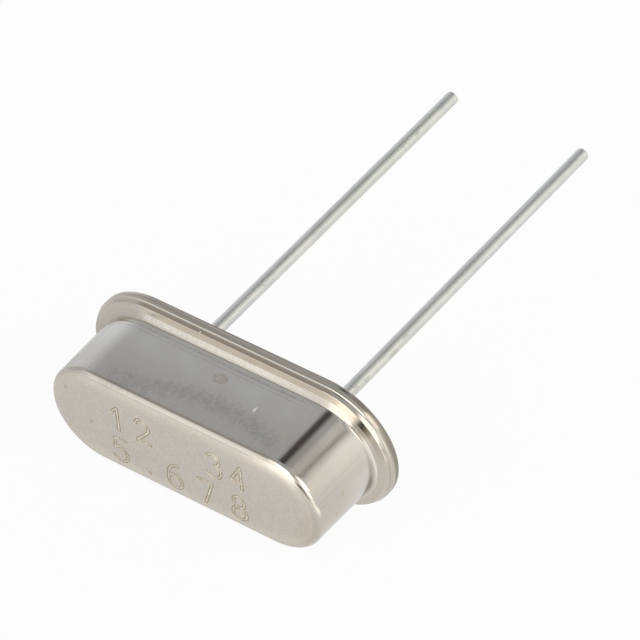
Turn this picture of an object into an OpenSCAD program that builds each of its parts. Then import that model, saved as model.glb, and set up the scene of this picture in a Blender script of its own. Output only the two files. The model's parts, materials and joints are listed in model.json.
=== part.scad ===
// Quartz crystal in a low, flanged metal can with two wire leads.
// It lies on one long side: the can's top edge and the flange touch the
// surface, and the leads point along +Y, a little upwards.

/* [Can] */
// Length of the can's wall at the flange
can_l = 9.94; // [9.7:0.02:10.4]
// Width of the can's wall at the flange
can_w = 3.62; // [3.5:0.02:3.9]
// Height from the base's underside to the can's top
can_h = 3.22; // [3.1:0.02:3.6]
// Thickness of the drawn sheet
sheet_t = 0.2; // [0.15:0.01:0.22]
// How far the wall leans in from the flange to the top
can_draft = 0.045; // [0:0.005:0.08]
// Outer radius of the edge round the can's top
top_edge_r = 0.21; // [0.15:0.01:0.3]

/* [Flange] */
// How far the flange stands out from the can's wall
flange_out = 0.485; // [0.42:0.005:0.55]
// Thickness of the base's rim
rim_t = 0.242; // [0.2:0.002:0.28]
// How far the flange's front face rises from its edge to the wall
flange_rise = 0.185; // [0.05:0.005:0.2]
// Radius of the fillet between the flange and the can's wall
flange_fillet_r = 0.07; // [0.03:0.01:0.1]

/* [Base] */
// Height of the raised middle of the base inside the can
plateau_h = 0.86; // [0.8:0.02:0.9]
// Thickness of the raised middle
plateau_t = 0.25; // [0.2:0.01:0.28]
// Diameter of each glass-filled eyelet
eyelet_d = 1.3; // [1:0.05:1.4]
// Wall of the collar round each eyelet
collar_t = 0.17; // [0.1:0.01:0.25]
// Height of the collar's lower end above the underside
collar_z = 0.12; // [0.05:0.01:0.3]

/* [Leads] */
// Distance between the leads' axes
lead_pitch = 4.88; // [4.7:0.02:5.1]
// Diameter of a lead
lead_d = 0.43; // [0.4:0.01:0.5]
// Length of a lead below the base's underside
lead_l = 13.8; // [12.7:0.1:16]
// Thickness of the tin coat on the free length of a lead
tin_t = 0.01; // [0.005:0.001:0.02]

/* [Resonator] */
// Length of the quartz strip
blank_l = 8.2; // [7.6:0.1:8.4]
// Width of the quartz strip, across the can's height
blank_w = 1.6; // [1.3:0.05:1.64]
// Thickness of the quartz strip
blank_t = 0.2; // [0.12:0.01:0.3]
// Length of each electrode's pad
pad_l = 3.2; // [2.4:0.1:3.8]
// Width of each electrode's pad
pad_w = 1.2; // [0.8:0.05:1.25]

/* [Hidden] */
$fn = 48;

// All pieces are drawn standing on the base, with the leads pointing down,
// and lay_down() turns them onto their side.
core_l = can_l - can_w;              // straight stretch shared by every oval
wall_r = can_w / 2;                  // can's outer radius at the flange
top_r = wall_r - can_draft;          // can's outer radius at the top
rim_r = wall_r + flange_out;         // flange's outer radius
lead_x = lead_pitch / 2;
lead_r = lead_d / 2;
pin_r = lead_r - tin_t;              // bare wire, inside the base and the can

// Can's flange: its sheared edge has a proud band at the seam and a smooth
// band set back a little above it.
edge_step = 0.02;
edge_band_z = rim_t + 0.11;
edge_top_z = rim_t + 0.194;
wall_foot_z = edge_top_z + flange_rise;
slope = flange_rise / (flange_out - edge_step);

// Base: the raised middle clears the can's inner wall, and a conical seat
// under the can's flange meets it face to face.
plateau_r = wall_r - sheet_t - 0.07;
recess_r = plateau_r - plateau_t;
function seat_z(r) = rim_t + (rim_r - r) * slope;

// Lead's inner end, and the spring clip on top of it
lead_top_z = plateau_h + 0.14;
clip_t = 0.1;
clip_w = 0.8;
film_t = 0.02;                       // drawn thicker than a real plated film
slot_w = blank_t + 2 * film_t;
slot_z = lead_top_z + clip_t + 0.15;
clip_x = blank_l / 2 - 0.08;         // inner face of the clip's upright
clip_h = slot_z + 1.25;
dab_r = 0.26;
dab_half_l = 0.24;
lead_chamfer = 0.05;

// Glass bead, and the stretch just below it over which the tin coat thins out
meniscus = 0.06;
bead_low_z = collar_z + 0.05;
bare_z = bead_low_z - meniscus - 0.01;
tin_fade_l = 0.52;

// Resting place: the angle at which the flange's edge and the can's top edge
// touch one flat surface, and the shift that centres the whole on the origin.
edge_r_c = top_r - top_edge_r;
edge_z_c = can_h - top_edge_r;
reach_r = rim_r - edge_r_c;
reach_z = edge_z_c - edge_band_z;
tilt = acos(top_edge_r / norm([reach_r, reach_z])) - atan2(reach_z, reach_r);
lift = rim_r * cos(tilt) + edge_band_z * sin(tilt);
back_y = lead_l * cos(tilt) + (lead_r - lead_chamfer) * sin(tilt);
front_y = -edge_z_c * cos(tilt) - edge_r_c * sin(tilt) - top_edge_r;

module lay_down() {
    translate([0, -(back_y + front_y) / 2, lift]) rotate([90 + tilt, 0, 0]) children();
}

// Points of an arc of radius r that rounds the corner at b, between a and c
function unit(v) = v / norm(v);
function rounded_corner(a, b, c, r, steps = 6) =
    let (u = unit(a - b), v = unit(c - b), half = acos(u * v) / 2, middle = unit(u + v),
         centre = b + middle * r / sin(half), sweep = 180 - 2 * half,
         turn = sign(u[0] * v[1] - u[1] * v[0]), start = atan2(-middle[1], -middle[0]))
    [for (i = [0:steps]) let (angle = start + turn * sweep * (0.5 - i / steps))
        centre + r * [cos(angle), sin(angle)]];

// Outline through corners [x, z, radius], with each corner of radius > 0 rounded
function rounded_outline(corners) =
    let (n = len(corners), p = [for (q = corners) [q[0], q[1]]])
    [for (i = [0:n - 1])
        each corners[i][2] > 0 ? rounded_corner(p[(i + n - 1) % n], p[i], p[(i + 1) % n], corners[i][2])
                               : [p[i]]];

// Sweeps a half section, given as [radius, height] corners, round the oval core
module oval_sweep(corners) {
    outline = rounded_outline(corners);
    for (side = [0, 180])
        rotate([0, 0, side]) translate([core_l / 2, 0, 0])
            rotate([0, 0, -90]) rotate_extrude(angle = 180) polygon(outline);
    for (side = [0, 180])
        rotate([0, 0, side]) translate([-core_l / 2, 0, 0])
            rotate([90, 0, 90]) linear_extrude(core_l) polygon(outline);
}

module can_cover() {
    inner_r = wall_r - sheet_t;
    inner_top = can_h - sheet_t;
    color([0.75, 0.72, 0.69]) lay_down() oval_sweep([
        [0, can_h, 0],
        [top_r, can_h, top_edge_r],
        [wall_r, wall_foot_z, flange_fillet_r],
        [rim_r - edge_step, edge_top_z, 0.025],
        [rim_r - edge_step, edge_band_z, 0],
        [rim_r, edge_band_z, 0.015],
        [rim_r, rim_t, 0.02],
        [inner_r, seat_z(inner_r), 0.05],
        [inner_r - can_draft, inner_top, 0.06],
        [0, inner_top, 0]]);
}

module base_header() {
    collar_r = eyelet_d / 2 + collar_t;
    recess_z = plateau_h - plateau_t;
    color([0.66, 0.63, 0.6]) lay_down() difference() {
        union() {
            oval_sweep([
                [0, plateau_h, 0],
                [plateau_r, plateau_h, 0.12],
                [plateau_r, seat_z(plateau_r), 0],
                [rim_r, rim_t, 0.025],
                [rim_r, 0, 0.04],
                [recess_r, 0, 0.08],
                [recess_r, recess_z, 0.08],
                [0, recess_z, 0]]);
            for (x = [-lead_x, lead_x])
                translate([x, 0, collar_z]) cylinder(r = collar_r, h = plateau_h - plateau_t / 2 - collar_z);
        }
        for (x = [-lead_x, lead_x])
            translate([x, 0, 0]) cylinder(d = eyelet_d, h = plateau_h + 1);
    }
}

// Glass bead in an eyelet, drawn up round the lead at both ends
module glass_seal(side) {
    bead_r = eyelet_d / 2;
    color([0.1, 0.14, 0.15]) lay_down() translate([side * lead_x, 0, 0]) rotate_extrude() polygon([
        [pin_r, bead_low_z - meniscus],
        [pin_r + 2 * meniscus, bead_low_z],
        [bead_r, bead_low_z],
        [bead_r, plateau_h],
        [pin_r + 2 * meniscus, plateau_h],
        [pin_r, plateau_h + meniscus]]);
}

// Straight wire with a small chamfer at its cut end; its tin coat thins out to
// bare wire just below the glass
module lead(side) {
    color([0.7, 0.71, 0.71]) lay_down() translate([side * lead_x, 0, 0]) rotate_extrude() polygon([
        [0, -lead_l],
        [lead_r - lead_chamfer, -lead_l],
        [lead_r, lead_chamfer - lead_l],
        [lead_r, bare_z - tin_fade_l],
        [pin_r, bare_z],
        [pin_r, lead_top_z],
        [0, lead_top_z]]);
}

// Bent strip on a lead's inner end, with a slotted upright for the quartz
module spring_clip(side) {
    foot_l = clip_x + clip_t - lead_x + 0.3;
    color([0.72, 0.7, 0.66]) lay_down() rotate([0, 0, side > 0 ? 0 : 180])
        translate([lead_x - 0.3, -clip_w / 2, lead_top_z]) {
            cube([foot_l, clip_w, clip_t]);
            difference() {
                translate([foot_l - clip_t, 0, 0]) cube([clip_t, clip_w, clip_h - lead_top_z]);
                translate([foot_l - 2 * clip_t, (clip_w - slot_w) / 2, slot_z - lead_top_z])
                    cube([3 * clip_t, slot_w, clip_h]);
            }
        }
}

module quartz_strip() {
    color([0.86, 0.9, 0.92]) lay_down()
        translate([-blank_l / 2, -blank_t / 2, slot_z]) cube([blank_l, blank_t, blank_w]);
}

// Plated pad on one face of the strip, with a tail to one end; side is 1 for
// the face and end towards +Y and +X as drawn, and -1 for the opposite ones
module electrode(side) {
    middle_z = slot_z + blank_w / 2;
    tail_w = 0.5;
    tail_l = clip_x - 0.02;
    color([0.85, 0.84, 0.8]) lay_down() rotate([0, 0, side > 0 ? 0 : 180])
        translate([0, blank_t / 2, middle_z]) union() {
            translate([-pad_l / 2, 0, -pad_w / 2]) cube([pad_l, film_t, pad_w]);
            translate([0, 0, -tail_w / 2]) cube([tail_l, film_t, tail_w]);
        }
}

// Conductive dab in the corner between an electrode's tail and its clip
module adhesive(side) {
    face_y = blank_t / 2 + film_t;
    color([0.6, 0.6, 0.58]) lay_down() rotate([0, 0, side > 0 ? 0 : 180])
        translate([clip_x, face_y, slot_z + blank_w / 2])
            rotate([0, 0, 90]) rotate_extrude(angle = 90)
                polygon([for (a = [-90:15:90]) [dab_r * cos(a), dab_half_l * sin(a)]]);
}

can_cover();
base_header();
glass_seal(-1);  // glass_seal_left
glass_seal(1);  // glass_seal_right
lead(-1);  // lead_left
lead(1);  // lead_right
spring_clip(-1);  // spring_clip_left
spring_clip(1);  // spring_clip_right
quartz_strip();
electrode(1);  // electrode_front
electrode(-1);  // electrode_back
adhesive(-1);  // adhesive_left
adhesive(1);  // adhesive_right
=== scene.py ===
import json
import math

import bmesh
import bpy
from mathutils import Matrix, Vector, noise
from mathutils.geometry import delaunay_2d_cdt


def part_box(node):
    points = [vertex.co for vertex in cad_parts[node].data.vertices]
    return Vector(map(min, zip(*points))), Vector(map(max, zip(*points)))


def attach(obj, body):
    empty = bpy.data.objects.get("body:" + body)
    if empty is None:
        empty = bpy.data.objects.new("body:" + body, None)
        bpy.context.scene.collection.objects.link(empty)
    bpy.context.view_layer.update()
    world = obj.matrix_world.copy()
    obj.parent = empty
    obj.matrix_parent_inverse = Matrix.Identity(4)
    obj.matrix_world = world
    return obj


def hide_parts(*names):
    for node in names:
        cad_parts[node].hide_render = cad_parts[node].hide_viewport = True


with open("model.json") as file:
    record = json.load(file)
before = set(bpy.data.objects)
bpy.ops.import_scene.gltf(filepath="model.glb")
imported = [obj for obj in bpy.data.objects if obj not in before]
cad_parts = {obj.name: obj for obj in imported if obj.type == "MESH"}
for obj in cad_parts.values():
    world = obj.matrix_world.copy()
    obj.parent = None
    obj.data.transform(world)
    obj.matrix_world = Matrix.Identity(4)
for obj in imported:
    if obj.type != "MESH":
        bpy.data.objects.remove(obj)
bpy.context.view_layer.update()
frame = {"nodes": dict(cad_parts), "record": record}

# ------------------------ sizes, in millimetres
MM = 0.001
CAN_H = 3.22                  # base's underside to the can's top
WALL_R = 1.81                 # can's outer radius at the flange; every oval has the same core
TOP_R = 1.765                 # can's outer radius at the top
TOP_EDGE_R = 0.2
FACE_R = 1.46                 # the marked face's mesh ends here
CROWN_R = 1.13                # the face is flat inside this radius and falls away outside it
CROWN_DROP = 0.034            # how far it has fallen at CROWN_R + CROWN_REACH
CROWN_REACH = 0.425
SHEET_T = 0.2
RIM_R = 2.295                 # flange's outer radius
RIM_T = 0.242                 # thickness of the base's rim
EDGE_TOP_Z = RIM_T + 0.194
FLANGE_RISE = 0.185
WALL_FOOT_Z = EDGE_TOP_Z + FLANGE_RISE
FLANGE_SLOPE = FLANGE_RISE / (RIM_R - 0.02 - WALL_R)
BEVEL_R = 2.02                # the flange's steeper inner band ends here
BEVEL_Z = 0.512
PLATEAU_R = 1.54
PLATEAU_Z = 0.86
RECESS_R = 1.29
RECESS_Z = 0.61
LEAD_X = 2.44
LEAD_R = 0.215
PIN_R = 0.205
LEAD_L = 13.8
TIN_FADE_Z = -0.42            # the tin coat thins out from here
TIN_END_Z = 0.1               # to bare wire here
LEAD_TOP_Z = 1.0
EYELET_R = 0.65
COLLAR_R = 0.82
COLLAR_Z = 0.12
BEAD_Z = 0.17

# ------------------------ placing
# Shapes are drawn standing, in millimetres: the base's underside at z = 0, the can above it and the
# leads below. STANDING turns that into the part's place and metres.
MOUNTS = {m["name"]: m for m in frame["record"]["mounts"]}
UP = Vector(MOUNTS["can_top"]["axis"]).normalized()       # from the base to the can's top
ALONG = Vector((1, 0, 0))
ACROSS = UP.cross(ALONG)
BASE_CENTRE = Vector(MOUNTS["can_top"]["pos_m"]) - UP * CAN_H * MM
TURN = Matrix((ALONG, ACROSS, UP)).transposed()
STANDING = Matrix.Translation(BASE_CENTRE) @ TURN.to_4x4() @ Matrix.Scale(MM, 4)

RIM_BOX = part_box("can_cover")
HALF_CORE = (RIM_BOX[1].x - RIM_BOX[0].x) / 2 / MM - RIM_R  # half the straight stretch


# ------------------------ mesh helpers
def new_piece(name, bm, materials, slot, *nodes):
    """Makes a smooth-shaded piece from a bmesh in standing millimetres, in the part's own frame."""
    bmesh.ops.remove_doubles(bm, verts=bm.verts, dist=1e-5)
    bmesh.ops.recalc_face_normals(bm, faces=bm.faces)
    bmesh.ops.transform(bm, matrix=STANDING, verts=bm.verts)
    mesh = bpy.data.meshes.new(name)
    bm.to_mesh(mesh)
    bm.free()
    for polygon in mesh.polygons:
        polygon.use_smooth = True
    piece = bpy.data.objects.new(name, mesh)
    for material in materials:
        mesh.materials.append(material)
    bpy.context.scene.collection.objects.link(piece)
    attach(piece, "root")
    if nodes:
        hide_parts(*nodes)
    return piece


def rounded_corner(a, b, c, radius, steps):
    """Points of the arc that rounds corner b of the path a, b, c."""
    u = (a - b).normalized()
    v = (c - b).normalized()
    half = u.angle(v) / 2
    middle = (u + v).normalized()
    centre = b + middle * radius / math.sin(half)
    sweep = math.pi - 2 * half
    turn = math.copysign(1, u.x * v.y - u.y * v.x)
    start = math.atan2(-middle.y, -middle.x)
    angles = [start + turn * sweep * (0.5 - i / steps) for i in range(steps + 1)]
    return [centre + radius * Vector((math.cos(t), math.sin(t))) for t in angles]


def profile(corners, steps=10, longest=0.25):
    """Path through corners (r, z, radius): rounds each corner and splits long stretches."""
    points = [Vector(q[:2]) for q in corners]
    path = [points[0]]
    for i in range(1, len(corners) - 1):
        if corners[i][2] > 0:
            path += rounded_corner(points[i - 1], points[i], points[i + 1], corners[i][2], steps)
        else:
            path.append(points[i])
    path.append(points[-1])
    split = [path[0]]
    for a, b in zip(path, path[1:]):
        n = max(1, math.ceil((b - a).length / longest))
        split += [a.lerp(b, k / n) for k in range(1, n + 1)]
    return split


def oval_stations(straight_xs, arc_steps):
    """Stations round the oval, clockwise from the upper side's left: (centre x, angle)."""
    stations = [(x, 0.0) for x in straight_xs[:-1]]
    stations += [(HALF_CORE, math.pi * i / arc_steps) for i in range(arc_steps)]
    stations += [(x, math.pi) for x in reversed(straight_xs[1:])]
    stations += [(-HALF_CORE, math.pi * (1 + i / arc_steps)) for i in range(arc_steps)]
    return stations


def ring(bm, stations, r, z, shift=None):
    """One closed ring of the oval at radius r and height z. shift(x, y, z, angle) moves it outwards."""
    verts = []
    for cx, angle in stations:
        out_x, out_y = math.sin(angle), math.cos(angle)
        x, y = cx + r * out_x, r * out_y
        d = shift(x, y, z, angle) if shift else 0
        verts.append(bm.verts.new((x + d * out_x, y + d * out_y, z)))
    return verts


def bridge(bm, a, b, material=0):
    """Quads between two rings of the same length."""
    n = len(a)
    for i in range(n):
        corners = (a[i], a[(i + 1) % n], b[(i + 1) % n], b[i])
        face = bm.faces.new(corners)
        face.material_index = material


def sweep(bm, stations, path, zone, shift=None):
    """Rings along a profile path, bridged. zone(r, z) gives the material. Returns first and last ring."""
    rings = [ring(bm, stations, p.x, p.y, shift) for p in path]
    for (a, b), (p, q) in zip(zip(rings, rings[1:]), zip(path, path[1:])):
        bridge(bm, a, b, zone((p.x + q.x) / 2, (p.y + q.y) / 2))
    return rings[0], rings[-1]


def revolve(bm, x, path, sides=48, wobble=None):
    """Rings about the vertical line at x through the points (r, z), bridged. Returns the rings."""
    rings = []
    for p in path:
        verts = []
        for i in range(sides):
            t = 2 * math.pi * i / sides
            r = p[0] + (wobble(t, p[1]) if wobble else 0)
            verts.append(bm.verts.new((x + r * math.cos(t), r * math.sin(t), p[1])))
        rings.append(verts)
    for a, b in zip(rings, rings[1:]):
        bridge(bm, a, b)
    return rings


def patch(bm, outline_verts, inner_loops, points, height, material=0):
    """Fills the region between an outline and inner loops with a mesh through the given points.

    height(x, y) gives the points' z. The loops keep their own vertices.
    """
    coords = [v.co.xy for v in outline_verts]
    edges = [(i, (i + 1) % len(coords)) for i in range(len(coords))]
    loops = [list(outline_verts)] + [list(loop) for loop in inner_loops]
    for loop in inner_loops:
        first = len(coords)
        coords += [v.co.xy for v in loop]
        edges += [(first + i, first + (i + 1) % len(loop)) for i in range(len(loop))]
    fixed = [v for loop in loops for v in loop]
    coords += [Vector(p) for p in points]
    made, _, faces, origin, _, _ = delaunay_2d_cdt(coords, edges, [], 0, 1e-7)
    verts = []
    for position, sources in zip(made, origin):
        old = [s for s in sources if s < len(fixed)]
        if old:
            verts.append(fixed[old[0]])
        else:
            verts.append(bm.verts.new((position.x, position.y, height(position.x, position.y))))
    border = [v.co.xy for v in outline_verts]
    holes = [[v.co.xy for v in loop] for loop in inner_loops]
    for face in faces:
        centre = sum((made[i] for i in face), Vector((0, 0))) / len(face)
        if inside(centre, border) and not any(inside(centre, hole) for hole in holes):
            bm.faces.new([verts[i] for i in face]).material_index = material


def inside(p, loop):
    """True if point p lies inside the closed loop of points."""
    hit = False
    for a, b in zip(loop, loop[1:] + loop[:1]):
        if (a.y > p.y) != (b.y > p.y) and p.x < (b.x - a.x) * (p.y - a.y) / (b.y - a.y) + a.x:
            hit = not hit
    return hit


def core_distance(x, y):
    """Distance from the oval's core line, which is the radius of the oval through (x, y)."""
    return math.hypot(max(abs(x) - HALF_CORE, 0), y)


# ------------------------ engraved numbers
GLYPH_W = 0.56
GLYPH_H = 0.92


def arc(cx, cy, rx, ry, start, end, steps=18):
    """Points of an elliptical arc, with angles in degrees."""
    angles = [math.radians(start + (end - start) * i / steps) for i in range(steps + 1)]
    return [(cx + rx * math.cos(t), cy + ry * math.sin(t)) for t in angles]


# Single-line digits in a cell 1 wide and 1 high
DIGITS = {
    "1": [[(0.22, 0.78), (0.55, 1.0), (0.55, 0.0)]],
    "2": [arc(0.5, 0.7, 0.42, 0.3, 165, -35) + [(0.08, 0.0), (0.95, 0.0)]],
    "3": [arc(0.46, 0.755, 0.4, 0.245, 150, -80) + arc(0.46, 0.27, 0.46, 0.27, 80, -150)],
    "4": [[(0.72, 0.0), (0.72, 1.0), (0.05, 0.3), (0.98, 0.3)]],
    "5": [[(0.88, 1.0), (0.18, 1.0), (0.12, 0.56)] + arc(0.46, 0.32, 0.46, 0.32, 125, -150)],
    "6": [arc(0.62, 0.42, 0.56, 0.58, 80, 180) + arc(0.5, 0.29, 0.44, 0.29, 180, 540, 36)],
    "7": [[(0.05, 1.0), (0.95, 1.0), (0.38, 0.0)]],
    "8": [arc(0.5, 0.76, 0.36, 0.24, -90, 270, 32), arc(0.5, 0.26, 0.45, 0.26, 90, 450, 36)],
}
# Each digit with its left end and lower end on the marked face
MARKS = [
    ("1", -2.66, -0.06), ("2", -1.72, -0.06), ("3", 0.90, -0.06), ("4", 1.76, -0.06),
    ("5", -2.66, -1.36), ("6", -0.66, -1.36), ("7", 0.50, -1.36), ("8", 1.70, -1.36),
]
POINT_MARK = (-1.34, -1.28)


def stroke_paths():
    """All strokes on the marked face, as closely spaced points in millimetres."""
    paths = []
    for digit, left, low in MARKS:
        for stroke in DIGITS[digit]:
            points = [Vector((left + GLYPH_W * x, low + GLYPH_H * y)) for x, y in stroke]
            dense = [points[0]]
            for a, b in zip(points, points[1:]):
                n = max(1, round((b - a).length / 0.028))
                dense += [a.lerp(b, k / n) for k in range(1, n + 1)]
            paths.append(dense)
    paths.append([Vector(POINT_MARK)])
    return paths


OUTLINE = 0.045               # each stroke is drawn as two fine lines, this far from its middle
STROKE_REACH = 0.12           # the strokes are not felt beyond this distance


def stroke_depth(d):
    """Height of the marking at distance d from a stroke's middle: a fine groove along each side."""
    groove = -0.012 * math.exp(-((d - OUTLINE) / 0.017) ** 2)
    burr = 0.004 * math.exp(-((d - OUTLINE - 0.033) / 0.012) ** 2)
    return groove + burr


# ------------------------ can
RING_MARK = (0.13, 1.32)      # x and height of the ring-shaped mark on the upper side
RING_MARK_SIZE = (0.215, 0.165)
NECK_Z = 0.95                 # fine groove round the wall, just above the flange
FLANGE_FLECK = (-1.25, 2.25, 0.44)
FRECKLES = [((4.92, 0.31, 2.03), 0.09), ((4.92, -0.25, 2.38), 0.07)]
FACE_PITS = [(-4.26, 0.73, 0.05), (-3.39, -0.23, 0.055)]


def bell(value, centre, width):
    return math.exp(-((value - centre) / width) ** 2)


def dish(x, y, z):
    """How far the drawn wall stands in or out from its ideal place."""
    wave = 0.003 * noise.noise(Vector((x * 0.55, y * 0.55, z * 0.5 + 7)))
    lines = 0.002 * bell(z, 0.78, 0.03) + 0.002 * bell(z, NECK_Z, 0.04)
    upper = min(1, max(0, (y - 1.3) / 0.4))
    fade = min(1, max(0, (3.2 - x) / 0.9))
    return wave - 0.004 - lines * upper * fade


def wall_shift(x, y, z, angle):
    """Outward shift of the can's outer wall, with the ring-shaped mark on the upper side."""
    share = min(1, max(0, (z - WALL_FOOT_Z - 0.03) / 0.08), max(0, (CAN_H - TOP_EDGE_R - z) / 0.2))
    d = share * dish(x, y, z)
    if angle == 0:
        far = math.hypot((x - RING_MARK[0]) / RING_MARK_SIZE[0], (z - RING_MARK[1]) / RING_MARK_SIZE[1])
        d -= 0.002 * bell(far, 1, 0.24)
    return d


def crown(r):
    """Height of the marked face at distance r from its core line: flat, then falling away."""
    return CAN_H - CROWN_DROP * (max(0, r - CROWN_R) / CROWN_REACH) ** 2


def spread(low, high, step, around=(), fine=0.02, reach=0.3):
    """Numbers from low to high, closely spaced near the given places."""
    count = round((high - low) / step)
    values = {round(low + (high - low) * i / count, 5) for i in range(count + 1)}
    for centre in around:
        n = round(reach / fine)
        near = [centre + k * fine for k in range(-n, n + 1)]
        values |= {round(v, 5) for v in near if low < v < high}
    kept = []
    for v in sorted(values):
        if not kept or v - kept[-1] > fine * 0.6:
            kept.append(v)
    kept[0], kept[-1] = low, high
    return kept


def can_zone(r, z):
    """Material of the can at radius r and height z: 0 wall, 1 flange, 2 face and its edge."""
    if z < WALL_FOOT_Z + 0.03 and r > WALL_R - 0.02:
        return 1
    return 2 if z > CAN_H - 0.035 else 0


def can_profile():
    """The can's section from the marked face over the wall and flange and back up inside."""
    inner_r = WALL_R - SHEET_T
    inner_top = CAN_H - SHEET_T
    seat_z = RIM_T + (RIM_R - inner_r) * FLANGE_SLOPE
    slope = (WALL_R - TOP_R) / (CAN_H - WALL_FOOT_Z)
    face_end = CROWN_R + CROWN_REACH
    steepness = 2 * CROWN_DROP / CROWN_REACH
    face = [Vector((r, crown(r))) for r in spread(FACE_R, face_end, 0.03)]
    edge = profile([
        (face_end, crown(face_end), 0),
        (TOP_R, crown(face_end) - steepness * (TOP_R - face_end), TOP_EDGE_R),
        (WALL_R, WALL_FOOT_Z, 0)], steps=18)[1:-1]
    edge = [p for p in edge if p.y > CAN_H - 0.24]
    wall_zs = spread(WALL_FOOT_Z + 0.09, CAN_H - 0.28, 0.12, around=(RING_MARK[1], 0.86), reach=0.24)
    wall = [Vector((WALL_R - (z - WALL_FOOT_Z) * slope, z)) for z in reversed(wall_zs)]
    lower = profile([
        (WALL_R - 0.09 * slope, WALL_FOOT_Z + 0.09, 0),
        (WALL_R, WALL_FOOT_Z, 0.06),
        (BEVEL_R, BEVEL_Z, 0.06),
        (RIM_R - 0.085, EDGE_TOP_Z + 0.019, 0.03),
        (RIM_R - 0.034, EDGE_TOP_Z - 0.085, 0.03),
        (RIM_R - 0.034, RIM_T + 0.066, 0.002),
        (RIM_R - 0.006, RIM_T + 0.046, 0.012),
        (RIM_R, RIM_T, 0.012),
        (inner_r, seat_z, 0.05),
        (inner_r - 0.045, inner_top, 0.06),
        (0, inner_top, 0)], steps=8, longest=0.12)[1:]
    return face[:-1] + edge + wall + lower


def build_can(materials):
    """Drawn can with its flange in one shell, and the marked face on top."""
    bm = bmesh.new()
    xs = spread(-HALF_CORE, HALF_CORE, 0.16, around=(RING_MARK[0],))
    outline, _ = sweep(bm, oval_stations(xs, 72), can_profile(), can_zone, wall_shift)
    points = [p for p in face_points() if core_distance(*p) < FACE_R - 0.015]
    patch(bm, outline, [], points, face_height, 2)
    store_stroke_distance(bm)
    return new_piece("can_shell", bm, materials, "can_nickel", "can_cover")


STROKE_ROW = 0.009            # gap between the rows of points along each stroke


def stroke_points(path):
    """Rows of points along one stroke, and rings of them round its ends."""
    turns = [2 * math.pi * m / 16 for m in range(16)]
    points = []
    for end in {0, len(path) - 1}:
        for k in range(1, 11):
            points += [tuple(path[end] + STROKE_ROW * k * Vector((math.cos(t), math.sin(t)))) for t in turns]
    for i, p in enumerate(path):
        a, b = path[max(i - 1, 0)], path[min(i + 1, len(path) - 1)]
        side = (b - a).orthogonal().normalized() if len(path) > 1 else Vector((0, 0))
        points += [tuple(p + side * (k * STROKE_ROW)) for k in range(-10, 11)]
    return points


def plain_points():
    """Points of the marked face away from the strokes: oval rings near the edge and a plain grid."""
    plain = []
    for r in (1.42, 1.35, 1.28, 1.21):
        for cx, angle in oval_stations(spread(-HALF_CORE, HALF_CORE, 0.1), 40):
            plain.append((cx + r * math.sin(angle), r * math.cos(angle)))
    for i in range(-30, 31):
        for j in range(-8, 9):
            if core_distance(i * 0.15, j * 0.14) < 1.16:
                plain.append((i * 0.15, j * 0.14))
    return [p for p in plain if STROKES.distance(*p) > 0.105]


def face_points():
    """All points of the marked face, with none of them too close together."""
    points = [p for path in stroke_paths() for p in stroke_points(path)]
    return thin_out(points + plain_points(), 0.0075)


def thin_out(points, gap):
    """Leaves out points closer than gap to one already kept."""
    cells, kept = {}, []
    for p in points:
        key = (math.floor(p[0] / gap), math.floor(p[1] / gap))
        block = [cells.get((key[0] + i, key[1] + j)) for i in (-1, 0, 1) for j in (-1, 0, 1)]
        if all(q is None or math.hypot(p[0] - q[0], p[1] - q[1]) > gap for q in block):
            cells[key] = p
            kept.append(p)
    return kept


class StrokeField:
    """Distance to the nearest stroke, looked up in square cells."""

    def __init__(self, cell=STROKE_REACH):
        self.cell = cell
        self.cells = {}
        for path in stroke_paths():
            pairs = list(zip(path, path[1:])) or [(path[0], path[0])]
            for a, b in pairs:
                self.cells.setdefault(self.key(a), []).append((a, b))

    def key(self, p):
        return math.floor(p[0] / self.cell), math.floor(p[1] / self.cell)

    def distance(self, x, y):
        """Distance from (x, y) to the nearest stroke, up to STROKE_REACH."""
        p, best = Vector((x, y)), STROKE_REACH
        kx, ky = self.key(p)
        for i in (-1, 0, 1):
            for j in (-1, 0, 1):
                for a, b in self.cells.get((kx + i, ky + j), ()):
                    ab = b - a
                    t = (p - a).dot(ab) / ab.length_squared if ab.length_squared else 0
                    best = min(best, (p - a - ab * min(1, max(0, t))).length)
        return best


STROKES = StrokeField()


def face_height(x, y):
    """Height of the marked face at (x, y), with the strokes."""
    return crown(core_distance(x, y)) + stroke_depth(STROKES.distance(x, y))


def store_stroke_distance(bm):
    """Stores on each vertex its distance from the nearest stroke of the marking."""
    layer = bm.verts.layers.float.new("stroke")
    for v in bm.verts:
        on_face = v.co.z > CAN_H - 0.05
        v[layer] = STROKES.distance(v.co.x, v.co.y) if on_face else STROKE_REACH


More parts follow.
